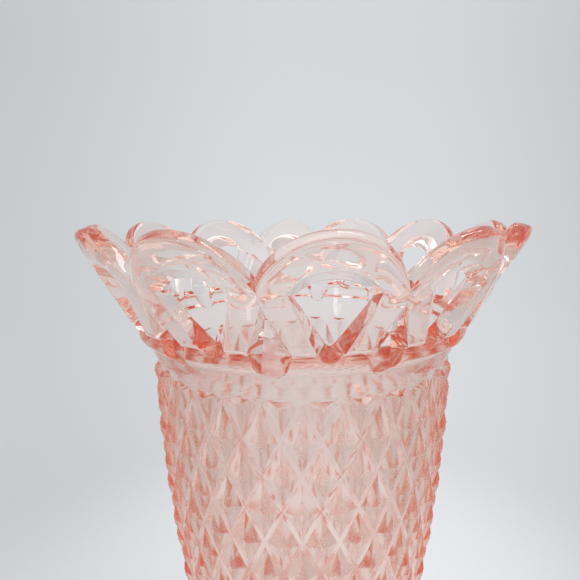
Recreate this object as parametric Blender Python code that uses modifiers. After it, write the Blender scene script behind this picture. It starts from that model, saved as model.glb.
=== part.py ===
# Pressed-glass vase with a laced rim: a tapering cup with a diamond-point wall on a plain foot,
# a smooth neck band, and twelve open loops leaning outward to a scalloped edge. Metres, +Z up.
import math

import bmesh
import bpy

# Overall sizes; the rim's radius is to the corner that its rounding takes off
HEIGHT = 0.1267
RIM_RADIUS = 0.0550
SEAM = 0.0003

# Laced rim, measured down the slant from the outer corner of a loop's crown
LOOP_COUNT = 12
FLARE = math.radians(28.0)
LACE_THICKNESS = 0.0045
LACE_SLANT = 0.0368
VALLEY_SLANT = 0.0103
CROWN_ARC = math.radians(52.0)
CROWN_RISE = 0.0013
VALLEY_RISE = 0.0023
EDGE_ROUNDING = 0.0012
VALLEY_ROUNDING = 0.0006

# Neck band: a smooth dished face, a half-round bead, and a ledge rising inward that the loops stand on
BAND_WIDTH = 0.0098
BAND_DISH = 0.0006
BEAD_WIDTH = 0.0032
BEAD_RELIEF = 0.0006
LEDGE_RISE = 0.0020
GROOVE_HEIGHT = 0.0020
GROOVE_DEPTH = 0.0012

# Window in each loop: the mould drew straight out, so the outside face is wider than the inside
ARCH_WIDTH = 0.0063
ARCH_ARC = math.radians(66.0)
WINDOW_RISE = 0.0046
WINDOW_WIDTH = 0.0158
WINDOW_CORNER = 0.0008
WINDOW_CORNER_IN = 0.00025
WINDOW_LEG_WIDTH = 0.0052
WINDOW_FOOT_WIDTH = 0.0010
WINDOW_DRAFT = 0.0016
WINDOW_TOP_DRAFT = 0.0028

# Slot between the legs of neighbouring loops, with an upright floor facet that runs on into the band
BRIDGE_WIDTH = 0.0033
SLOT_WIDTH = 0.0090
SLOT_FOOT_WIDTH = 0.0043
SLOT_FOOT_RISE = 0.0054
SLOT_INNER_WIDTH = 0.0019
SLOT_FLARE = 0.85
SLOT_DRAFT = 0.0032
SLOT_FLOOR_LENGTH = 0.0091
SLOT_FLOOR_DEPTH = 0.0006

# Body with the diamond points
DIAMOND_COUNT = 28
DIAMOND_ROWS = 5
DIAMOND_RELIEF = 0.0015
SHOULDER_HEIGHT = 0.0006
SHOULDER_INSET = 0.0004
SHOULDER_STEP = 0.0002
BODY_BOW = 0.0015
BODY_WALL = 0.0047
CUT_OVERRUN = 0.0020

# Foot, with the floor of the hollow
FOOT_RADIUS = 0.0330
FOOT_EDGE = 0.0055
FOOT_ROUND = 0.0016
FLANGE_WIDTH = 0.0038
WAIST_IN = 0.0011
WAIST_LIP = 0.0005
FLOOR_THICKNESS = 0.0080
FLOOR_CORNER = 0.0050
WELL_LIP = 0.00245
STAND_WIDTH = 0.0079
RECESS_DEPTH = 0.0020
RECESS_CORNER = 0.0020

# Facets round a turned piece, and along each stretch of a loop's outline
TURN_STEPS = 84
HOLLOW_STEPS = 5
CROWN_STEPS = 9
LEG_STEPS = 5
BEAD_STEPS = 5

# Rings of a loop's edge from outside to inside, as (share of the wall, share of the rounding)
EDGE_RINGS = ((0.0, 1.0), (0.12, 0.2), (0.5, 0.0), (0.88, 0.2), (1.0, 1.0))

SIN = math.sin(FLARE)
COS = math.cos(FLARE)
WALL = LACE_THICKNESS / COS
EDGE_Z = HEIGHT - max(CROWN_RISE * depth - EDGE_ROUNDING * inset * COS for depth, inset in EDGE_RINGS)
BAND_SLANT = LACE_SLANT - BAND_WIDTH
SLOT_TOP = VALLEY_SLANT + BRIDGE_WIDTH
SLOT_FOOT = LACE_SLANT - SLOT_FOOT_RISE
STRAP_FOOT = BAND_SLANT - GROOVE_HEIGHT
CREASE_Z = EDGE_Z - LACE_SLANT * COS
CREASE_RADIUS = RIM_RADIUS - LACE_SLANT * SIN
HALF_CELL = math.pi / LOOP_COUNT
SEAM_ANGLE = 0.5 * SEAM / (RIM_RADIUS - BAND_SLANT * SIN - WALL)

FLOOR_Z = RECESS_DEPTH + FLOOR_THICKNESS
FOOT_TOP = FLOOR_Z + FLOOR_CORNER + WELL_LIP
WAIST_RADIUS = FOOT_RADIUS - FLANGE_WIDTH
RECESS_RADIUS = FOOT_RADIUS - FOOT_ROUND - STAND_WIDTH

BODY_TOP = CREASE_Z - SEAM
PATTERN_TOP = BODY_TOP - SHOULDER_HEIGHT
PATTERN_BOTTOM = FOOT_TOP + SEAM
BODY_TOP_RADIUS = CREASE_RADIUS - SHOULDER_INSET
BODY_FOOT_RADIUS = WAIST_RADIUS + WAIST_IN


def mix(a, b, t):
    return a + (b - a) * t


def body_radius(z):
    # The wall at the bottom of the grooves, slightly bowed from foot to neck.
    t = (z - PATTERN_BOTTOM) / (PATTERN_TOP - PATTERN_BOTTOM)
    return mix(BODY_FOOT_RADIUS, BODY_TOP_RADIUS, t) + BODY_BOW * 4.0 * t * (1.0 - t)


def hollow_radius(z):
    return body_radius(z) - BODY_WALL


for old in list(bpy.data.objects):
    bpy.data.objects.remove(old, do_unlink=True)
vase = bpy.data.collections.new("glass_bud_vase")
cutters = bpy.data.collections.new("cutters")
bpy.context.scene.collection.children.link(vase)
bpy.context.scene.collection.children.link(cutters)


def glass(name, tint):
    material = bpy.data.materials.new(name)
    material.use_nodes = True
    shader = material.node_tree.nodes["Principled BSDF"]
    shader.inputs["Base Color"].default_value = (*tint, 1.0)
    shader.inputs["Metallic"].default_value = 0.0
    shader.inputs["Roughness"].default_value = 0.04
    shader.inputs["IOR"].default_value = 1.51
    shader.inputs["Transmission Weight"].default_value = 0.9
    material.diffuse_color = (*tint, 1.0)
    return material


def place(name, mesh, material, collection=vase):
    mesh.materials.append(material)
    mesh.shade_smooth()
    mesh.set_sharp_from_angle(angle=math.radians(20.0))
    part = bpy.data.objects.new(name, mesh)
    collection.objects.link(part)
    return part


def turned(name, profile, closed, material, collection=vase):
    # A profile of (radius, height) points, down its outer side, turned about the vase's axis.
    count = len(profile)
    edges = [(i, (i + 1) % count) for i in range(count if closed else count - 1)]
    mesh = bpy.data.meshes.new(name)
    mesh.from_pydata([(r, 0.0, z) for r, z in profile], edges, [])
    part = place(name, mesh, material, collection)
    screw = part.modifiers.new("turn", "SCREW")
    screw.axis = "Z"
    screw.angle = 2 * math.pi
    screw.steps = screw.render_steps = TURN_STEPS
    screw.use_merge_vertices = True
    screw.merge_threshold = 0.00001
    screw.use_smooth_shade = True
    return part


def arc(cx, cz, radius, start, end, steps):
    angles = [math.radians(start + (end - start) * i / steps) for i in range(steps + 1)]
    return [(cx + radius * math.cos(a), cz + radius * math.sin(a)) for a in angles]


def carve(part, cutter, name):
    cutter.hide_render = True
    cutter.display_type = "WIRE"
    cut = part.modifiers.new(name, "BOOLEAN")
    cut.operation = "DIFFERENCE"
    cut.solver = "EXACT"
    cut.object = cutter


def build_foot():
    well = hollow_radius(FLOOR_Z + FLOOR_CORNER)
    profile = [(0.0, FLOOR_Z)]
    profile += arc(well - FLOOR_CORNER, FLOOR_Z + FLOOR_CORNER, FLOOR_CORNER, -90, 0, 5)
    profile += [(hollow_radius(FOOT_TOP), FOOT_TOP), (WAIST_RADIUS + WAIST_LIP, FOOT_TOP)]
    profile += [(WAIST_RADIUS, FOOT_TOP - WAIST_IN), (WAIST_RADIUS, FOOT_EDGE + WAIST_LIP)]
    profile += [(WAIST_RADIUS + WAIST_LIP, FOOT_EDGE)]
    profile += arc(FOOT_RADIUS - FOOT_ROUND, FOOT_EDGE - FOOT_ROUND, FOOT_ROUND, 90, 0, 4)
    profile += arc(FOOT_RADIUS - FOOT_ROUND, FOOT_ROUND, FOOT_ROUND, 0, -90, 4)
    profile += [(RECESS_RADIUS, 0.0), (RECESS_RADIUS - RECESS_CORNER, RECESS_DEPTH), (0.0, RECESS_DEPTH)]
    return turned("foot", profile, False, glass("foot_glass", (0.95, 0.74, 0.69)))


def build_body():
    # A net of squares rolled into the cup, turned into diamonds, and each diamond drawn up to a point.
    bm = bmesh.new()
    bmesh.ops.create_grid(bm, x_segments=DIAMOND_COUNT, y_segments=DIAMOND_ROWS, size=1.0)
    for v in bm.verts:
        z = PATTERN_BOTTOM + (v.co.y + 1.0) * 0.5 * (PATTERN_TOP - PATTERN_BOTTOM)
        turn = (v.co.x + 1.0 + 1.0 / DIAMOND_COUNT) * math.pi
        r = body_radius(z)
        v.co = (r * math.sin(turn), -r * math.cos(turn), z)
    bmesh.ops.remove_doubles(bm, verts=bm.verts, dist=1e-6)
    net = [e for e in bm.edges if not e.is_boundary]
    rims = [e for e in bm.edges if e.is_boundary]
    centres = bmesh.ops.poke(bm, faces=bm.faces[:])["verts"]
    for v in centres:
        z = v.co.z
        r = math.hypot(v.co.x, v.co.y)
        v.co *= body_radius(z) / r
        v.co.z = z
    bmesh.ops.dissolve_edges(bm, edges=net, use_verts=False, use_face_split=False)
    bmesh.ops.poke(bm, faces=bm.faces[:], offset=DIAMOND_RELIEF)
    top = [e for e in rims if e.is_valid and e.verts[0].co.z > 0.5 * (PATTERN_TOP + PATTERN_BOTTOM)]
    lip = bmesh.ops.extrude_edge_only(bm, edges=top)["geom"]
    for v in lip:
        if isinstance(v, bmesh.types.BMVert):
            grow = (CREASE_RADIUS + SHOULDER_STEP) / math.hypot(v.co.x, v.co.y)
            v.co = (v.co.x * grow, v.co.y * grow, BODY_TOP)
    bmesh.ops.holes_fill(bm, edges=[e for e in bm.edges if e.is_boundary], sides=0)
    bmesh.ops.recalc_face_normals(bm, faces=bm.faces)
    mesh = bpy.data.meshes.new("body")
    bm.to_mesh(mesh)
    bm.free()
    body = place("body", mesh, glass("body_glass", (0.94, 0.70, 0.64)))

    low, high = PATTERN_BOTTOM - CUT_OVERRUN, BODY_TOP + CUT_OVERRUN
    levels = [mix(high, low, i / HOLLOW_STEPS) for i in range(HOLLOW_STEPS + 1)]
    profile = [(0.0, high)] + [(hollow_radius(z), z) for z in levels] + [(0.0, low)]
    cutter = turned("hollow_cutter", profile, False, body.data.materials[0], cutters)
    carve(body, cutter, "hollow")
    return body


def lace_profile(slant, depth):
    # A spot on the flared shell, depth a share of the wall straight in towards the axis.
    return RIM_RADIUS - slant * SIN - WALL * depth, EDGE_Z - slant * COS


def slot_mouth(slant):
    # Half width of a slot on the outside, from the foot of the straps down to its own foot.
    return 0.5 * mix(SLOT_WIDTH, SLOT_FOOT_WIDTH, (slant - STRAP_FOOT) / (SLOT_FOOT - STRAP_FOOT))


def slot_floor(slant):
    # Half width and depth of a slot's floor facet, which starts where the slot stops breaking through.
    floor = (slant - SLOT_FOOT + SLOT_FLOOR_LENGTH) / SLOT_FLOOR_LENGTH
    return 0.5 * mix(SLOT_INNER_WIDTH, SLOT_FOOT_WIDTH, floor), mix(1.0, SLOT_FLOOR_DEPTH / WALL, floor)


def build_band():
    face = BAND_WIDTH - BEAD_WIDTH
    stops = [(BAND_SLANT + SEAM, 0.0)]
    for i in range(1, BEAD_STEPS):
        t = i / BEAD_STEPS
        depth = BAND_DISH * t - BEAD_RELIEF * math.sin(math.pi * t)
        stops.append((mix(BAND_SLANT + SEAM, LACE_SLANT - face, t), depth / WALL))
    stops += [(LACE_SLANT - face, BAND_DISH / WALL), (LACE_SLANT - 0.5 * face, 0.7 * BAND_DISH / WALL)]
    profile = [lace_profile(slant, depth) for slant, depth in stops]
    profile += [(CREASE_RADIUS, CREASE_Z), (hollow_radius(CREASE_Z), CREASE_Z)]
    profile.append(lace_profile(BAND_SLANT + SEAM - LEDGE_RISE / COS, 1.0))
    band = turned("neck_band", profile, True, glass("band_glass", (0.95, 0.73, 0.68)))

    outward = 2.0 * BEAD_RELIEF / WALL
    bm = bmesh.new()
    for i in range(LOOP_COUNT):
        for v in bmesh.ops.create_cube(bm, size=2.0)["verts"]:
            slant = SLOT_FOOT if v.co.z < 0.0 else BAND_SLANT - LEDGE_RISE / COS - CUT_OVERRUN
            half, depth = slot_floor(slant)
            if v.co.y < 0.0:
                half, depth = mix(half, slot_mouth(slant), 1.0 + outward / depth), -outward
            radius, z = lace_profile(slant, depth)
            turn = (2 * i + 1) * HALF_CELL + math.copysign(half / radius, v.co.x)
            v.co = (radius * math.sin(turn), -radius * math.cos(turn), z)
    bmesh.ops.recalc_face_normals(bm, faces=bm.faces)
    mesh = bpy.data.meshes.new("slot_cutter")
    bm.to_mesh(mesh)
    bm.free()
    cutter = place("slot_cutter", mesh, band.data.materials[0], cutters)
    carve(band, cutter, "slots")
    return band


def arch_drop(share, half_arc):
    # How far a round arch has dropped at a share of its half width, as a share of its rise.
    return (1.0 - math.cos(math.asin(share * math.sin(half_arc)))) / (1.0 - math.cos(half_arc))


def share_of(half_width, slant, depth):
    # A width across the flared shell as a share of the half cell there.
    return half_width / (lace_profile(slant, depth)[0] * HALF_CELL)


def slot_ring(ring, t, slant):
    # Where a ring crosses the slot's side, t down the straps: (half width, depth) as shares.
    depth = EDGE_RINGS[ring][0]
    strap = 0.5 * SLOT_WIDTH * t ** SLOT_FLARE
    outside = share_of(strap if t < 1.0 else slot_mouth(slant), slant, 0.0)
    facet, facet_depth = slot_floor(slant)
    if facet_depth >= 1.0:
        inside = share_of(0.5 * SLOT_INNER_WIDTH * min(1.0, 1.6 * t), slant, 1.0)
        return mix(outside, inside, depth), depth
    facet = share_of(facet, slant, facet_depth)
    stops = [(outside, 0.0), (mix(outside, facet, 0.5), 0.5 * facet_depth), (facet, facet_depth)]
    stops += [(0.0, facet_depth), (0.0, 1.0)]
    return stops[ring]


def edge_line(ring):
    # Half of a loop's outer edge, crown to foot, as (share of half cell, slant, depth).
    depth, inset = EDGE_RINGS[ring]
    line = []
    for i in range(CROWN_STEPS + 1):
        share = i / CROWN_STEPS
        fall = arch_drop(share, CROWN_ARC)
        lift = mix(CROWN_RISE, VALLEY_RISE, fall) * depth / COS
        slant = VALLEY_SLANT * fall - lift + inset * mix(EDGE_ROUNDING, VALLEY_ROUNDING, share)
        line.append((share, slant, depth))
    line.append((1.0, SLOT_TOP + SLOT_DRAFT * depth, depth))
    rise = LEDGE_RISE / COS
    for i in range(1, LEG_STEPS + 1):
        t = i / LEG_STEPS
        level = mix(SLOT_TOP, STRAP_FOOT, t)
        half, inward = slot_ring(ring, t, level)
        line.append((1.0 - half, level + SLOT_DRAFT * depth * (1.0 - t) - rise * inward * t, inward))
    for level, groove in ((mix(STRAP_FOOT, BAND_SLANT, 0.25), GROOVE_DEPTH / WALL), (BAND_SLANT, 0.0)):
        half, inward = slot_ring(ring, 1.0, level)
        line.append((1.0 - half, level - rise * inward, max(inward, groove)))
    return line


def window_line(inside):
    # Half of the window's outline, from the middle of its arch down to its foot, matched to edge_line.
    draft = WINDOW_DRAFT if inside else 0.0
    depth = 1.0 if inside else 0.0
    top = ARCH_WIDTH + (WINDOW_TOP_DRAFT if inside else 0.0)
    shoulder = ARCH_WIDTH + WINDOW_RISE + draft
    half = 0.5 * WINDOW_WIDTH - draft
    foot_half = 0.5 * WINDOW_FOOT_WIDTH
    leg_half = max(0.5 * WINDOW_LEG_WIDTH - draft, foot_half)
    line = []
    for i in range(CROWN_STEPS + 1):
        slant = mix(top, shoulder, arch_drop(i / CROWN_STEPS, ARCH_ARC))
        line.append((share_of(half * i / CROWN_STEPS, slant, depth), slant, depth))
    half -= WINDOW_CORNER_IN
    line.append((share_of(half, shoulder + WINDOW_CORNER, depth), shoulder + WINDOW_CORNER, depth))
    leg_foot = STRAP_FOOT - (LEDGE_RISE / COS if inside else 0.0)
    for i in range(1, LEG_STEPS + 1):
        t = i / LEG_STEPS
        slant = mix(shoulder + WINDOW_CORNER, leg_foot, t)
        line.append((share_of(mix(half, leg_half, t), slant, depth), slant, depth))
    foot = BAND_SLANT - (LEDGE_RISE / COS if inside else 0.0)
    for t, groove in ((0.25, GROOVE_DEPTH / WALL), (1.0, 0.0)):
        slant = mix(leg_foot, foot, t)
        line.append((share_of(mix(leg_half, foot_half, t), slant, depth), slant, max(depth, groove)))
    return line


def bar_points(half):
    # The half outline mirrored into a line of points on the flared shell, foot to foot, loop centred on -Y.
    points = []
    mirrored = [(-share, slant, depth) for share, slant, depth in half[:0:-1]]
    for share, slant, depth in mirrored + half:
        radius, z = lace_profile(slant, depth)
        turn = share * (HALF_CELL - SEAM_ANGLE)
        points.append((radius * math.sin(turn), -radius * math.cos(turn), z))
    return points


def build_loops():
    # One loop drawn out line by line, outside window to rim to inside window and back, then set round.
    lines = [bar_points(window_line(False))]
    lines += [bar_points(edge_line(ring)) for ring in range(len(EDGE_RINGS))]
    lines.append(bar_points(window_line(True)))
    bm = bmesh.new()
    order = bm.verts.layers.int.new("order")
    verts = [bm.verts.new(p) for p in lines[0]]
    for i, v in enumerate(verts):
        v[order] = i
    edges = [bm.edges.new(pair) for pair in zip(verts, verts[1:])]
    for line in lines[1:] + lines[:1]:
        drawn = bmesh.ops.extrude_edge_only(bm, edges=edges)["geom"]
        edges = [g for g in drawn if isinstance(g, bmesh.types.BMEdge)]
        for v in drawn:
            if isinstance(v, bmesh.types.BMVert):
                v.co = line[v[order]]
    bmesh.ops.remove_doubles(bm, verts=bm.verts, dist=1e-7)
    feet = bmesh.ops.holes_fill(bm, edges=[e for e in bm.edges if e.is_boundary], sides=0)["faces"]
    bmesh.ops.triangulate(bm, faces=feet)
    bmesh.ops.recalc_face_normals(bm, faces=bm.faces)
    mesh = bpy.data.meshes.new("lace_loop")
    bm.to_mesh(mesh)
    bm.free()
    first = place("lace_loop_01", mesh, glass("lace_glass", (0.96, 0.80, 0.76)))
    for i in range(1, LOOP_COUNT):
        loop = bpy.data.objects.new(f"lace_loop_{i + 1:02d}", first.data)
        loop.rotation_euler[2] = 2 * math.pi * i / LOOP_COUNT
        vase.objects.link(loop)


build_foot()
build_body()
build_band()
build_loops()
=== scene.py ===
import math
import bmesh
import bpy
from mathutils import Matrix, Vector


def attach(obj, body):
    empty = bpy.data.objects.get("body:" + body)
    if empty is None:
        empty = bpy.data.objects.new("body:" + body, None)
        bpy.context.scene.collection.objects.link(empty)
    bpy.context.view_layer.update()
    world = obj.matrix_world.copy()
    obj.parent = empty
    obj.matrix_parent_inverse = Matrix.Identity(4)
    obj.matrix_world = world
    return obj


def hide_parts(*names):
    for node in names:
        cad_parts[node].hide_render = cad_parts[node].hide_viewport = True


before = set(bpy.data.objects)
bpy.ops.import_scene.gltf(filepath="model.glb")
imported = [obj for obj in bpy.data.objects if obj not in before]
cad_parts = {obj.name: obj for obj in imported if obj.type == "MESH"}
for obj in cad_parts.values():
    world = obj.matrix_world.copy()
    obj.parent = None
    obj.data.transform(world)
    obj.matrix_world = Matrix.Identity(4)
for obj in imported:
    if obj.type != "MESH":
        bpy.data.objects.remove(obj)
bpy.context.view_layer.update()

# The vase is one pressing of pink soda glass, so every zone below is added to one closed skin.
# The mould left a low round foot: a flat stand ring, a shallow recess under it, and a narrow waist.
# All sizes are millimetres until a point is put in place.
MM = 0.001
COLUMNS = 336
glass = bmesh.new()


def at(turn, radius, z):
    # A point of the vase: degrees round from the front loop, radius and height.
    a = math.radians(turn)
    return Vector((radius * math.sin(a), -radius * math.cos(a), z)) * MM


def mix(a, b, t):
    return a + (b - a) * t


def turned(profile):
    # A line of (radius, height) points swept once round the axis.
    verts = [glass.verts.new(at(0.0, r, z)) for r, z in profile]
    line = [glass.edges.new(pair) for pair in zip(verts, verts[1:])]
    bmesh.ops.spin(glass, geom=verts + line, cent=(0, 0, 0), axis=(0, 0, 1), dvec=(0, 0, 0),
                   angle=2 * math.pi, steps=COLUMNS, use_merge=True, use_normal_flip=False,
                   use_duplicate=False)


def arc(cx, cz, radius, start, end, steps):
    angles = [math.radians(mix(start, end, i / steps)) for i in range(steps + 1)]
    return [(cx + radius * math.cos(a), cz + radius * math.sin(a)) for a in angles]


WALL_FOOT_Z = 17.75
WALL_TOP_Z = 92.4
WALL_FOOT_RADIUS = 31.5
WALL_TOP_RADIUS = 38.45
WALL_BOW = 1.5
GROOVE_DEPTH = 1.25
PATTERN_TOP = 91.7
PATTERN_PITCH = 15.7
PATTERN_BOTTOM = PATTERN_TOP - 4.5 * PATTERN_PITCH


def wall_radius(z):
    # The gently bowed wall, measured close to the tips of the points.
    t = (z - WALL_FOOT_Z) / (WALL_TOP_Z - WALL_FOOT_Z)
    return mix(WALL_FOOT_RADIUS, WALL_TOP_RADIUS, t) + WALL_BOW * 4.0 * t * (1.0 - t)


FOOT_RADIUS = 33.0
FOOT_EDGE = 5.5
FOOT_ROUND = 1.8
WAIST_RADIUS = 29.0
WAIST_ROUND = 2.6
WAIST_Z = 11.2
RECESS = 2.0
belt_z = PATTERN_BOTTOM - 0.8
belt_radius = wall_radius(PATTERN_BOTTOM) - GROOVE_DEPTH
heel_radius = wall_radius(WALL_FOOT_Z) - GROOVE_DEPTH
foot_profile = [(belt_radius, belt_z), (heel_radius, WALL_FOOT_Z + 0.6)]
foot_profile += [(heel_radius - 0.3, WALL_FOOT_Z + 0.1), (WAIST_RADIUS + 0.8, WALL_FOOT_Z - 0.7)]
foot_profile += arc(WAIST_RADIUS + WAIST_ROUND, WAIST_Z, WAIST_ROUND, 140, 230, 8)
foot_profile += arc(FOOT_RADIUS - FOOT_ROUND, FOOT_EDGE - FOOT_ROUND, FOOT_ROUND, 85, 0, 6)
foot_profile += arc(FOOT_RADIUS - FOOT_ROUND, FOOT_ROUND, FOOT_ROUND, 0, -90, 6)
foot_profile += [(27.5, 0.0), (23.5, 0.0), (22.9, 0.25), (21.8, 1.7)]
foot_profile += [(21.2, RECESS), (12.0, RECESS), (0.0, RECESS)]
turned(foot_profile)

# The hollow was formed by a smooth plunger and tapers to a rounded floor above the foot.
# At the top it opens out with the flare of the lace, which leans 28 degrees from the axis.
FLARE = math.tan(math.radians(28.0))
LACE_WALL = 5.1
NECK_RADIUS = 37.6
NECK_Z = 93.3
WALL_THICKNESS = 5.9


def outer_radius(z):
    return NECK_RADIUS + (z - NECK_Z) * FLARE


def inner_radius(z):
    flare = outer_radius(z) - LACE_WALL
    hollow = wall_radius(min(z, WALL_TOP_Z)) - WALL_THICKNESS
    return 0.5 * (flare + hollow + math.hypot(flare - hollow, 1.6))


FLOOR_Z = 10.0
FLOOR_ROUND = 5.0
hollow_profile = []
for i in range(13):
    z = mix(NECK_Z, FLOOR_Z + FLOOR_ROUND, i / 12)
    hollow_profile.append((inner_radius(z), z))
corner = hollow_profile.pop()
hollow_profile += arc(corner[0] - FLOOR_ROUND, FLOOR_Z + FLOOR_ROUND, FLOOR_ROUND, 0, -90, 8)
hollow_profile += [(10.0, FLOOR_Z), (0.0, FLOOR_Z)]
turned(hollow_profile)

# The wall of the cup carries rows of pressed diamond points between narrow crossing bands.
# Each point is a four-sided pyramid with flat faces and a small blunt tip. The rows are cut off at the
# tips, above under a narrow shoulder and below over a plain belt.
POINT_COUNT = 28
POINT_ROWS = 6
BAND_HALF = 0.5
POINT_SHARE = 0.86
POINT_RISE = 0.5


def on_wall(v):
    # Sets a vertex down on the bottom of the bands.
    z = v.co.z / MM
    turn = math.degrees(math.atan2(v.co.x, -v.co.y))
    v.co = at(turn, wall_radius(z) - GROOVE_DEPTH, z)


points = bmesh.new()
bmesh.ops.create_grid(points, x_segments=POINT_COUNT, y_segments=POINT_ROWS, size=1.0)
for v in points.verts:
    z = PATTERN_TOP + PATTERN_PITCH - (1.0 - v.co.y) * POINT_ROWS / 2 * PATTERN_PITCH
    v.co = at(180.0 * v.co.x + 180.0 / POINT_COUNT - 360.0 / COLUMNS, wall_radius(z) - GROOVE_DEPTH, z)
bmesh.ops.remove_doubles(points, verts=points.verts, dist=0.00001)
net = [e for e in points.edges if not e.is_boundary]
for v in bmesh.ops.poke(points, faces=points.faces[:], center_mode="MEAN")["verts"]:
    on_wall(v)
bmesh.ops.dissolve_edges(points, edges=net, use_verts=False, use_face_split=False)
bmesh.ops.delete(points, geom=[f for f in points.faces if len(f.verts) == 3], context="FACES")
faces = points.faces[:]
bmesh.ops.inset_individual(points, faces=faces, thickness=BAND_HALF * MM, depth=0.0, use_even_offset=True)
for face in faces:
    reach = 2.0 * face.calc_area() / face.calc_perimeter()
    bmesh.ops.inset_individual(points, faces=[face], thickness=POINT_SHARE * reach, depth=POINT_RISE * reach,
                               use_even_offset=True)
shoulder_radius = NECK_RADIUS - 0.1
shoulder_z = NECK_Z - 0.6
for cut, side, ring_radius, ring_z in ((PATTERN_TOP + 0.2, 1.0, shoulder_radius, shoulder_z),
                                       (PATTERN_BOTTOM + 0.2, -1.0, belt_radius, belt_z)):
    bmesh.ops.bisect_plane(points, geom=points.verts[:] + points.edges[:] + points.faces[:], dist=0.00001,
                           plane_co=(0.0, 0.0, cut * MM), plane_no=(0.0, 0.0, side), clear_outer=True)
    loop = [e for e in points.edges if e.is_boundary and abs(e.verts[0].co.z / MM - cut) < 0.05
            and abs(e.verts[1].co.z / MM - cut) < 0.05]
    ring = bmesh.ops.create_circle(points, segments=COLUMNS, radius=ring_radius * MM)["verts"]
    bmesh.ops.translate(points, verts=ring, vec=(0.0, 0.0, ring_z * MM))
    loop += [e for e in points.edges if e.verts[0] in ring and e.verts[1] in ring]
    bmesh.ops.bridge_loops(points, edges=loop)
pattern = bpy.data.meshes.new("pattern")
points.to_mesh(pattern)
points.free()
glass.from_mesh(pattern)
bpy.data.meshes.remove(pattern)
turned([(NECK_RADIUS, NECK_Z), (NECK_RADIUS - 0.08, NECK_Z - 0.25), (shoulder_radius, shoulder_z)])

# Above the crease the glass flares out: a smooth band, a half-round bead, and twelve open loops.
# The loops were pressed by wedge-shaped pins on a mould that opened in three, so their side walls are
# drafted and lean with the pull of the mould instead of pointing at the axis.
HALF_LOOP = 15.0
CROWN_ROW = 22
APEX_ROW = 27
SLIT_ROW = 31
CORNER_ROW = 34
FACET_ROW = 36
SILL_ROW = 45
SLOT_ROW = 56
LAST_ROW = 61
FACE_STEPS = 14
WINDOW_ARC = 66.0
WINDOW_TOP = 120.1
WINDOW_SPRING = 116.0
WINDOW_HALF = 7.9
WINDOW_FOOT = 103.2
WINDOW_FOOT_HALF = 2.35
WINDOW_SILL = 102.03
BACK_TOP = 117.6
BACK_SPRING = 114.6
BACK_HALF = 6.3
BACK_FOOT = 105.0
BACK_FOOT_HALF = 0.75
BACK_SILL = 104.3
CROWN_ARC = 52.0
OUTER_CROWN = 125.7
OUTER_VALLEY = 116.6
INNER_CROWN = 127.0
INNER_VALLEY = 118.9
SLOT_TOP_HEIGHTS = [113.6, 113.35, 112.9, 112.2]
SLOT_TOP = SLOT_TOP_HEIGHTS[0]
SLOT_NECK = 111.9
SLOT_NECK_HALF = 1.0
SLOT_WIDE = 103.75
SLOT_HALF = 4.5
SLOT_FOOT = 98.05
SLIT_TOP = 110.8
SLIT_FOOT = 106.1
SLIT_HALF = 0.95
FACET_HEIGHT = 7.7
FACET_FOOT_RADIUS = 39.7
FACET_MEAN_RADIUS = 39.5
FACET_FOOT_HALF = 2.15
FACET_ROUND = 0.8
FACET_SAG = 0.8
# Heights of the rows down a strap, closer together over the groove and the bead.
STRAP_HEIGHTS = [111.3, 110.3, 109.2, 108.1, 107.0, 105.9, 104.8, 104.1, 103.75, 103.5, 103.25, 102.9, 102.5,
                 102.2, 102.03, 101.45, 101.1, 100.8, 100.3, 99.8, 99.4, 99.2, 98.95, 98.6, 98.25, 98.05,
                 97.3, 96.3, 95.2, 94.1, 93.3]
# How far the groove, bead and band lie inside the plain flare, by height.
RING_DEPTHS = [(103.95, 0.0), (103.75, 0.08), (103.5, 0.9), (103.25, 1.3), (102.9, 1.12), (102.5, 0.8),
               (102.2, 0.5), (102.03, 0.32), (101.45, 0.0), (101.1, -0.2), (100.8, -0.3), (100.3, -0.28),
               (99.8, -0.1), (99.4, 0.3), (99.2, 0.7), (98.95, 0.85), (98.6, 0.8), (97.3, 0.6), (96.3, 0.42),
               (95.2, 0.34), (94.1, 0.22), (93.3, 0.0)]
# Turn of the inside against the outside, by the angle from the middle of one third of the mould.
PULL = [(0.0, 0.0), (15.0, 1.7), (30.0, 3.3), (45.0, 4.6), (60.0, 0.0)]
PULL_TURN = -6.0
CROWN_LEAN = -0.9


def along(table, x):
    # Straight-line reading of a table of (x, y) pairs, ends held.
    pairs = sorted(table)
    if x <= pairs[0][0]:
        return pairs[0][1]
    for (x0, y0), (x1, y1) in zip(pairs, pairs[1:]):
        if x <= x1:
            return mix(y0, y1, (x - x0) / (x1 - x0))
    return pairs[-1][1]


def ring_share(z):
    # Depth of the band, bead and groove as a share of the wall there.
    return along(RING_DEPTHS, z) / (outer_radius(z) - inner_radius(z))


def arch(share, half_arc):
    # Drop of a round arch, 0 at its top and 1 at its ends.
    bend = math.radians(half_arc)
    return (1.0 - math.cos(math.asin(min(1.0, share) * math.sin(bend)))) / (1.0 - math.cos(bend))


def outer_point(w, z):
    # A spot on the outside, w millimetres across from the middle of the loop.
    return (math.degrees(w / outer_radius(z)), z, ring_share(z))


def inner_point(w, z):
    return (math.degrees(w / inner_radius(z)), z, 1.0)


def strap_z(row):
    return STRAP_HEIGHTS[row - SLIT_ROW]


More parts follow.
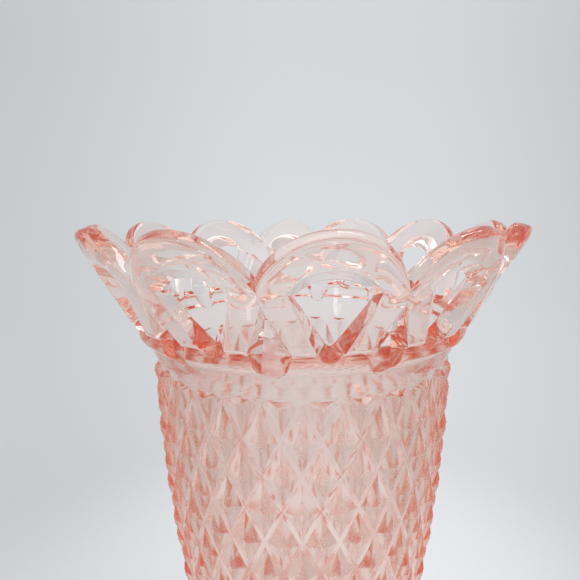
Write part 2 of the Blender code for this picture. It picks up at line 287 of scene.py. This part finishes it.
def window_outside(row):
    # The window's half width and height on the outside, from the top of its arch to its sill.
    if row <= CROWN_ROW:
        s = row / CROWN_ROW
        return WINDOW_HALF * s, mix(WINDOW_TOP, WINDOW_SPRING, arch(s, WINDOW_ARC))
    if row < SLIT_ROW:
        z = mix(WINDOW_SPRING, strap_z(SLIT_ROW), ((row - CROWN_ROW) / (SLIT_ROW - CROWN_ROW)) ** 0.9)
    else:
        z = strap_z(row)
    if z < WINDOW_FOOT:
        return WINDOW_FOOT_HALF * max(0.0, (z - WINDOW_SILL) / (WINDOW_FOOT - WINDOW_SILL)) ** 0.75, z
    return mix(WINDOW_FOOT_HALF, WINDOW_HALF, (z - WINDOW_FOOT) / (WINDOW_SPRING - WINDOW_FOOT)), z


def window_inside(row):
    # The same on the inside, where the pin was narrower.
    if row <= CROWN_ROW:
        s = row / CROWN_ROW
        return BACK_HALF * s, mix(BACK_TOP, BACK_SPRING, arch(s, WINDOW_ARC))
    z = window_outside(row)[1]
    t = (WINDOW_SPRING - z) / (WINDOW_SPRING - WINDOW_FOOT)
    if t <= 1.0:
        return mix(BACK_HALF, BACK_FOOT_HALF, t), mix(BACK_SPRING, BACK_FOOT, t)
    t = (WINDOW_FOOT - z) / (WINDOW_FOOT - WINDOW_SILL)
    return BACK_FOOT_HALF * max(0.0, 1.0 - t) ** 0.75, mix(BACK_FOOT, BACK_SILL, t)


def slot_outside(row):
    # The same for the slot between two loops, on the outside: round ends and straight sides.
    z = SLOT_TOP_HEIGHTS[row - APEX_ROW] if row < SLIT_ROW else strap_z(row)
    if z >= SLOT_NECK:
        return SLOT_NECK_HALF * math.sqrt(max(0.0, (SLOT_TOP - z) / (SLOT_TOP - SLOT_NECK))), z
    if z >= SLOT_WIDE:
        return mix(SLOT_NECK_HALF, SLOT_HALF, (SLOT_NECK - z) / (SLOT_NECK - SLOT_WIDE)), z
    return SLOT_HALF * (max(0.0, z - SLOT_FOOT) / (SLOT_WIDE - SLOT_FOOT)) ** 0.36, z


def moved_out(outline, row, first, last, distance):
    # A spot of an outline moved away from the opening, square to the outline.
    w0, z0 = outline(max(first, row - 1))
    w1, z1 = outline(min(last, row + 1))
    w, z = outline(row)
    if row in (first, last) and w < 0.01:
        return 0.0, z + (distance if row == first else -distance)
    dw, dz = w1 - w0, z1 - z0
    size = math.hypot(dw, dz)
    return w - dz / size * distance, z + dw / size * distance


def crown_z(share, inside):
    top, valley = (INNER_CROWN, INNER_VALLEY) if inside else (OUTER_CROWN, OUTER_VALLEY)
    return mix(top, valley, arch(share, CROWN_ARC))


def rim_drop(share):
    # How far below the crown its rounding starts.
    return 1.5 - 0.9 * share


def eased(z, start, end):
    # 0 below start, 1 above end, smooth between.
    t = min(1.0, max(0.0, (z - start) / (end - start)))
    return t * t * (3.0 - 2.0 * t)


def loop_place(turn, z, share, centre, side):
    # Puts a spot of the half loop on the flared wall, leaned with the pull of the mould.
    angle = centre + side * turn
    pull = (angle - PULL_TURN + 60.0) % 120.0 - 60.0
    lean = math.copysign(along(PULL, abs(pull)), pull) * max(0.0, share) * eased(z, 95.0, 102.0)
    lean += CROWN_LEAN * eased(z, 112.0, 120.0)
    return at(angle + lean, mix(outer_radius(z), inner_radius(z), share), z)


def blended(a, b, t):
    return tuple(mix(x, y, t) for x, y in zip(a, b))


def bent(start, corner, end, steps):
    # A rounded corner from start to end.
    return [blended(blended(start, corner, i / steps), blended(corner, end, i / steps), i / steps)
            for i in range(steps + 1)]


def straight(start, end, steps):
    return [blended(start, end, i / steps) for i in range(steps + 1)]


def strip(lines, centre, side):
    # A sheet of faces with one line of spots per row.
    count = len(lines) - 1
    steps = len(lines[0]) - 1
    for v in bmesh.ops.create_grid(glass, x_segments=steps, y_segments=count, size=1.0)["verts"]:
        column = round((v.co.x + 1.0) * 0.5 * steps)
        row = round((v.co.y + 1.0) * 0.5 * count)
        v.co = loop_place(*lines[row][column], centre, side)


PIN_ROUND = 0.35


def window_edge(row, inside):
    outline = window_inside if inside else window_outside
    if row <= SILL_ROW:
        return moved_out(outline, row, 0, SILL_ROW, PIN_ROUND)
    if inside:
        return 0.0, mix(BACK_SILL - PIN_ROUND, NECK_Z, (row - SILL_ROW) / (LAST_ROW - SILL_ROW))
    return 0.0, strap_z(row)


def face_end(row):
    # The far side of the outside face: crown, valley, slot, then the middle of the next leg.
    if row <= CROWN_ROW:
        s = row / CROWN_ROW
        return (HALF_LOOP * s, crown_z(s, False) - rim_drop(s), 0.0)
    if row <= APEX_ROW:
        t = (row - CROWN_ROW) / (APEX_ROW - CROWN_ROW)
        return (HALF_LOOP, mix(OUTER_VALLEY - rim_drop(1.0), SLOT_TOP + PIN_ROUND, t), 0.0)
    if row <= SLOT_ROW:
        w, z = moved_out(slot_outside, row, APEX_ROW, SLOT_ROW, -PIN_ROUND)
        if row == SLOT_ROW:
            w, z = 0.0, SLOT_FOOT - PIN_ROUND
        turn, z, share = outer_point(w, z)
        return (HALF_LOOP - turn, z, share)
    return (HALF_LOOP, strap_z(row), ring_share(strap_z(row)))


def slit_edge(row):
    # The slot breaks through the inside as a slim triangle: down its side, then along its foot.
    if row <= CORNER_ROW:
        t = (row - SLIT_ROW) / (CORNER_ROW - SLIT_ROW)
        turn, z, share = inner_point(SLIT_HALF * t ** 0.8, mix(SLIT_TOP, SLIT_FOOT, t))
    else:
        turn, z, share = inner_point(SLIT_HALF * (FACET_ROW - row) / (FACET_ROW - CORNER_ROW), SLIT_FOOT)
    return (HALF_LOOP - turn, z, share)


def inner_end(row):
    if row <= CROWN_ROW:
        s = row / CROWN_ROW
        return (HALF_LOOP * s, crown_z(s, True) - rim_drop(s), 1.0)
    if row <= SLIT_ROW:
        t = (row - CROWN_ROW) / (SLIT_ROW - CROWN_ROW)
        return (HALF_LOOP, mix(INNER_VALLEY - rim_drop(1.0), SLIT_TOP, t), 1.0)
    if row <= FACET_ROW:
        return slit_edge(row)
    return (HALF_LOOP, mix(SLIT_FOOT, NECK_Z, (row - FACET_ROW) / (LAST_ROW - FACET_ROW)), 1.0)


def facet_share(z):
    # The nearly upright floor facet of a slot.
    radius = mix(inner_radius(SLIT_FOOT), FACET_FOOT_RADIUS, (SLIT_FOOT - z) / FACET_HEIGHT)
    return (outer_radius(z) - radius) / (outer_radius(z) - inner_radius(z))


def slot_floor(row):
    # The foot of the slot's side wall and the middle of its floor.
    w, z = slot_outside(row)
    turn, z, share = outer_point(w, z)
    lip = (HALF_LOOP - turn, z, share)
    if row <= SLIT_ROW:
        t = (row - APEX_ROW) / (SLIT_ROW - APEX_ROW)
        middle = (HALF_LOOP, mix(113.3, SLIT_TOP, t), mix(0.1, 1.0, t))
        return blended(lip, middle, 0.7), middle
    if row < FACET_ROW:
        middle = slit_edge(row)
        return blended(lip, middle, 0.7 if row <= CORNER_ROW else 0.8), middle
    down = (row - FACET_ROW) / (SLOT_ROW - FACET_ROW)
    facet_row_z = strap_z(FACET_ROW)
    z = SLIT_FOOT + (z - facet_row_z) * FACET_HEIGHT / (facet_row_z - SLOT_FOOT)
    edge_z = z - FACET_SAG * (1.0 - down) ** 2
    below = (SLIT_FOOT - edge_z) - (FACET_HEIGHT - FACET_ROUND)
    half = mix(SLIT_HALF, FACET_FOOT_HALF, (SLIT_FOOT - edge_z) / (FACET_HEIGHT - FACET_ROUND))
    if below > 0.0:
        half = FACET_FOOT_HALF * math.sqrt(max(0.0, 1.0 - (below / FACET_ROUND) ** 2))
    edge = (HALF_LOOP - math.degrees(half / FACET_MEAN_RADIUS), edge_z, facet_share(edge_z))
    return edge, (HALF_LOOP, z, facet_share(z))


# Half a loop is five sheets: outside, inside, the window's wall, the rim and the slot.
SWELL = 0.06
SWELL_ROWS = 9.0
PIN_EASE = 0.1
LIP_EASE = 0.15
RIM_EASE = 0.38
outside_lines = []
inside_lines = []
window_lines = []
rim_lines = []
slot_lines = []
for row in range(LAST_ROW + 1):
    near = outer_point(*window_edge(row, False))
    deep = inner_point(*window_edge(row, True))
    far = face_end(row)
    swell = 4.0 * SWELL * min(1.0, max(0.0, (APEX_ROW - row) / SWELL_ROWS)) / FACE_STEPS ** 2
    outside_lines.append([(turn, z, ring_share(z) - swell * i * (FACE_STEPS - i))
                          for i, (turn, z, share) in enumerate(straight(near, far, FACE_STEPS))])
    inside_lines.append([(turn, z, 1.0) for turn, z, share in straight(deep, inner_end(row), FACE_STEPS)])
    if row <= SILL_ROW:
        front = outer_point(*window_outside(row))
        back = inner_point(*window_inside(row))
        first, last = blended(front, back, PIN_EASE), blended(front, back, 1.0 - PIN_EASE)
        line = bent(near, front, first, 2) + straight(first, last, 2)[1:] + bent(last, back, deep, 2)[1:]
        window_lines.append(line)
    if row <= CROWN_ROW:
        s = row / CROWN_ROW
        front = (HALF_LOOP * s, crown_z(s, False), 0.0)
        back = (HALF_LOOP * s, crown_z(s, True), 1.0)
        first, last = blended(front, back, RIM_EASE), blended(front, back, 1.0 - RIM_EASE)
        line = bent(far, front, first, 4) + [last] + bent(last, back, inner_end(row), 4)[1:]
        rim_lines.append(line)
    if APEX_ROW <= row <= SLOT_ROW:
        w, z = slot_outside(row)
        turn, z, share = outer_point(w, z)
        lip = (HALF_LOOP - turn, z, share)
        foot, middle = slot_floor(row)
        first = blended(lip, foot, LIP_EASE)
        line = bent(far, lip, first, 2) + straight(first, foot, 2)[1:] + straight(foot, middle, 2)[1:]
        slot_lines.append(line)
for loop in range(12):
    for side in (1, -1):
        for lines in (outside_lines, inside_lines, window_lines, rim_lines, slot_lines):
            strip(lines, 30.0 * loop, side)

# The zones meet edge to edge and are welded into one skin, with crisp edges on the points.
WELD = 0.000004
POINT_CREASE = math.radians(12.0)
CREASE = math.radians(38.0)
bmesh.ops.remove_doubles(glass, verts=glass.verts, dist=WELD)
bmesh.ops.dissolve_degenerate(glass, edges=glass.edges, dist=WELD / 2)
bmesh.ops.recalc_face_normals(glass, faces=glass.faces)
for e in glass.edges:
    x, y, z = (e.verts[0].co + e.verts[1].co) / (2.0 * MM)
    patterned = PATTERN_BOTTOM < z < PATTERN_TOP and math.hypot(x, y) > wall_radius(z) - 3.5
    e.smooth = e.calc_face_angle(math.pi) < (POINT_CREASE if patterned else CREASE)
skin = bpy.data.meshes.new("vase_glass")
glass.to_mesh(skin)
glass.free()
skin.polygons.foreach_set("use_smooth", [True] * len(skin.polygons))
vase = bpy.data.objects.new("vase_glass", skin)
bpy.context.scene.collection.objects.link(vase)


class Shade:
    # One socket of a material's nodes, so that shader sums read as plain sums.
    def __init__(self, tree, socket=None):
        self.tree = tree
        self.socket = socket

    def node(self, kind, settings, inputs, output=0):
        made = self.tree.nodes.new(kind)
        for name, value in settings.items():
            setattr(made, name, value)
        for name, value in inputs.items():
            if isinstance(value, Shade):
                self.tree.links.new(value.socket, made.inputs[name])
            else:
                made.inputs[name].default_value = value
        return Shade(self.tree, made.outputs[output])

    def maths(self, operation, first, second):
        return self.node("ShaderNodeMath", {"operation": operation}, {0: first, 1: second})

    def __add__(self, other):
        return self.maths("ADD", self, other)

    def __radd__(self, other):
        return self.maths("ADD", other, self)

    def __sub__(self, other):
        return self.maths("SUBTRACT", self, other)

    def __rsub__(self, other):
        return self.maths("SUBTRACT", other, self)

    def __mul__(self, other):
        return self.maths("MULTIPLY", self, other)

    def __rmul__(self, other):
        return self.maths("MULTIPLY", other, self)

    def __truediv__(self, other):
        return self.maths("DIVIDE", self, other)

    def __pow__(self, other):
        return self.maths("POWER", self, other)

    def __gt__(self, other):
        return self.maths("GREATER_THAN", self, other)

    def __lt__(self, other):
        return self.maths("LESS_THAN", self, other)


pink = bpy.data.materials.new("pink_glass")
pink.use_nodes = True
tree = pink.node_tree
shader = tree.nodes["Principled BSDF"]
shader.inputs["IOR"].default_value = 1.5
shader.inputs["Transmission Weight"].default_value = 1.0
absorb = tree.nodes.new("ShaderNodeVolumeAbsorption")
absorb.inputs["Color"].default_value = (0.96, 0.30, 0.02, 1.0)
absorb.inputs["Density"].default_value = 28.0
tree.links.new(absorb.outputs["Volume"], tree.nodes["Material Output"].inputs["Volume"])

# Where the mould pressed the glass it is grained, and the tips of the points are rubbed to a frost.
# The inside, drawn off the plunger, is slightly hazy; the outside of the loops is fire-polished.
nodes = Shade(tree)
spot = nodes.node("ShaderNodeTexCoord", {}, {}, "Object")
x = nodes.node("ShaderNodeSeparateXYZ", {}, {"Vector": spot}, "X")
y = nodes.node("ShaderNodeSeparateXYZ", {}, {"Vector": spot}, "Y")
z = nodes.node("ShaderNodeSeparateXYZ", {}, {"Vector": spot}, "Z")
radius = (x * x + y * y) ** 0.5
up = (z - WALL_FOOT_Z * MM) * (1.0 / ((WALL_TOP_Z - WALL_FOOT_Z) * MM))
lean = WALL_TOP_RADIUS - WALL_FOOT_RADIUS + 4.0 * WALL_BOW
bands = (WALL_FOOT_RADIUS - GROOVE_DEPTH) * MM + lean * MM * up - 4.0 * WALL_BOW * MM * up * up
raised = radius - bands
INTO_WALL = -2.0 * MM
pressed = (raised > INTO_WALL) * (z < PATTERN_TOP * MM) * (z > PATTERN_BOTTOM * MM)
tips = (raised > 0.8 * MM) * pressed
floors = (radius > 39.2 * MM) * (radius < 39.9 * MM) * (z > 98.3 * MM) * (z < 105.8 * MM)
neck = (z > 93.4 * MM) * (z < 99.0 * MM) * (radius > 36.5 * MM)
plunged = (raised < INTO_WALL) * (z > (FLOOR_Z - 0.5) * MM) * (z < NECK_Z * MM)
flared = radius - z * FLARE - (NECK_RADIUS - NECK_Z * FLARE - LACE_WALL) * MM
backs = (flared < 0.6 * MM) * (z > NECK_Z * MM)
grain = nodes.node("ShaderNodeTexNoise", {}, {"Vector": spot, "Scale": 1500.0, "Detail": 3.0})
speck = nodes.node("ShaderNodeTexNoise", {}, {"Vector": spot, "Scale": 2300.0, "Detail": 2.0})
polish = nodes.node("ShaderNodeTexNoise", {}, {"Vector": spot, "Scale": 170.0, "Detail": 1.0})
long_way = nodes.node("ShaderNodeMapping", {}, {"Vector": spot, "Scale": (0.06, 0.06, 1.0)})
drag = nodes.node("ShaderNodeTexNoise", {}, {"Vector": long_way, "Scale": 1300.0, "Detail": 1.0})
cloud = nodes.node("ShaderNodeTexNoise", {}, {"Vector": spot, "Scale": 90.0, "Detail": 2.0})
roughness = 0.012 + pressed * (0.03 + 0.06 * grain) + tips * 0.2 + floors * (0.08 + 0.1 * grain)
roughness = roughness + neck * 0.08 + plunged * 0.11 + backs * 0.05
tree.links.new(roughness.socket, shader.inputs["Roughness"])
tint = nodes.node("ShaderNodeMix", {"data_type": "RGBA"},
                  {"Factor": cloud, 6: (1.0, 1.0, 1.0, 1.0), 7: (1.0, 0.985, 0.98, 1.0)}, 2)
tint = nodes.node("ShaderNodeMix", {"data_type": "RGBA"},
                  {"Factor": pressed, 6: tint, 7: (1.0, 0.978, 0.972, 1.0)}, 2)
tree.links.new(tint.socket, shader.inputs["Base Color"])
height = 0.03 * MM * polish + 0.008 * MM * pressed * grain + 0.03 * MM * tips * speck
height = height + 0.012 * MM * floors * speck + 0.01 * MM * neck * drag
bump = nodes.node("ShaderNodeBump", {}, {"Strength": 1.0, "Distance": 1.0, "Height": height}, "Normal")
tree.links.new(bump.socket, shader.inputs["Normal"])
skin.materials.append(pink)
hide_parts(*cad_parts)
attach(vase, "root")

# The stand: a seamless pale grey paper sweep under and behind the vase, with a painted pool of light
# brightest round it.
# The paper glows with painted light of its own, and lies a tenth of a millimetre under the foot.
SWEEP_FRONT = -0.9
SWEEP_BEND = 0.45
SWEEP_TOP = 1.6
SWEEP_WIDTH = 3.2
PAPER_Z = -0.1 * MM
sweep = bmesh.new()
line = [(SWEEP_FRONT, PAPER_Z), (SWEEP_BEND, PAPER_Z)]
for i in range(1, 13):
    a = math.radians(90.0 * i / 12)
    line.append((SWEEP_BEND + SWEEP_BEND * math.sin(a), SWEEP_BEND - SWEEP_BEND * math.cos(a)))
line.append((2.0 * SWEEP_BEND, SWEEP_TOP))
verts = [sweep.verts.new((-SWEEP_WIDTH / 2, y, z)) for y, z in line]
edges = [sweep.edges.new(pair) for pair in zip(verts, verts[1:])]
drawn = bmesh.ops.extrude_edge_only(sweep, edges=edges)["geom"]
drawn = [g for g in drawn if isinstance(g, bmesh.types.BMVert)]
bmesh.ops.translate(sweep, verts=drawn, vec=(SWEEP_WIDTH, 0, 0))
bmesh.ops.recalc_face_normals(sweep, faces=sweep.faces)
backdrop_mesh = bpy.data.meshes.new("backdrop")
sweep.to_mesh(backdrop_mesh)
sweep.free()
backdrop_mesh.shade_smooth()
backdrop = bpy.data.objects.new("backdrop", backdrop_mesh)
bpy.context.scene.collection.objects.link(backdrop)
paper = bpy.data.materials.new("pale_paper")
paper.use_nodes = True
sheet = paper.node_tree.nodes["Principled BSDF"]
sheet.inputs["Base Color"].default_value = (0.32, 0.33, 0.335, 1.0)
sheet.inputs["Roughness"].default_value = 0.9
# Painted light: the paper glows by its own emission, though it is no lamp.
sheet.inputs["Emission Strength"].default_value = 0.37
nodes = Shade(paper.node_tree)
spot = nodes.node("ShaderNodeTexCoord", {}, {}, "Object")
x = nodes.node("ShaderNodeSeparateXYZ", {}, {"Vector": spot}, "X")
y = nodes.node("ShaderNodeSeparateXYZ", {}, {"Vector": spot}, "Y")
# Painted light in the paper's glow: slightly brighter towards the back, painted shade towards the sides, and
# a painted pool of light round the foot.
far = nodes.node("ShaderNodeMapRange", {"interpolation_type": "SMOOTHSTEP"},
                 {"Value": y, "From Min": 0.05, "From Max": 0.5})
across = x / (nodes.maths("MAXIMUM", y, 0.0) + 0.13) - 0.2
painted_side_shade = nodes.node("ShaderNodeMapRange", {"interpolation_type": "SMOOTHSTEP"},
                   {"Value": (across * across) ** 0.5, "From Min": 0.1, "From Max": 0.75})
near = nodes.node("ShaderNodeMapRange", {"interpolation_type": "SMOOTHSTEP"},
                  {"Value": (x * x + y * y) ** 0.5, "From Min": 0.15, "From Max": 0.04})
light = 0.95 + 0.05 * far - 0.30 * painted_side_shade + 0.5 * near
painted_glow = nodes.node("ShaderNodeVectorMath", {"operation": "SCALE"}, {0: (0.97, 0.99, 1.0), "Scale": light})
paper.node_tree.links.new(painted_glow.socket, sheet.inputs["Emission Color"])
backdrop_mesh.materials.append(paper)

# Soft studio light: a bright even room, a large softbox above, and three weak strips for glints.
world = bpy.data.worlds.new("studio")
bpy.context.scene.world = world
world.use_nodes = True
room = world.node_tree.nodes["Background"]
room.inputs["Color"].default_value = (0.95, 0.97, 1.0, 1.0)
room.inputs["Strength"].default_value = 1.0


def softbox(name, place, size, power):
    # A rectangle of light, in metres and watts, that faces the rim.
    aim = Vector((0.0, 0.0, 0.1))
    light = bpy.data.lights.new(name, "AREA")
    light.shape = "RECTANGLE"
    light.size, light.size_y = size
    light.energy = power
    lamp = bpy.data.objects.new(name, light)
    bpy.context.scene.collection.objects.link(lamp)
    lamp.location = place
    lamp.rotation_euler = (aim - Vector(place)).to_track_quat("-Z", "Y").to_euler()


softbox("softbox_top", (0.0, -0.1, 0.9), (0.9, 0.9), 1.6)
softbox("strip_left", (-0.45, -0.45, 0.55), (0.05, 0.3), 0.2)
softbox("strip_right", (0.5, -0.35, 0.55), (0.05, 0.3), 0.2)
softbox("strip_back", (0.25, 0.4, 0.6), (0.3, 0.05), 0.2)

# The camera stands close in front, just above the rim, looking slightly down.
eye = bpy.data.cameras.new("camera")
camera = bpy.data.objects.new("camera", eye)
bpy.context.scene.collection.objects.link(camera)
FRAME_PIXELS = 580
FOCAL_PIXELS = 470.0
SHIFT_PIXELS = -12.1
STAND_BACK = 123.9
SIDE_STEP = 6.9
EYE_Z = 129.3
PITCH_DOWN = 9.5
ROLL = -0.44
eye.sensor_width = 36.0
eye.lens = eye.sensor_width * FOCAL_PIXELS / FRAME_PIXELS
eye.shift_x = SHIFT_PIXELS / FRAME_PIXELS
eye.clip_start = 0.005
camera.location = at(-SIDE_STEP, STAND_BACK, EYE_Z)
camera.rotation_euler = (math.radians(90.0 - PITCH_DOWN), 0.0, -math.radians(SIDE_STEP))
camera.rotation_euler.rotate_axis("Z", math.radians(ROLL))
bpy.context.scene.camera = camera
bpy.context.scene.view_settings.view_transform = "Standard"

# Light that is turned back inside the glass many times needs long paths, or it goes black.
paths = bpy.context.scene.cycles
paths.max_bounces = 40
paths.glossy_bounces = 32
paths.transmission_bounces = 40
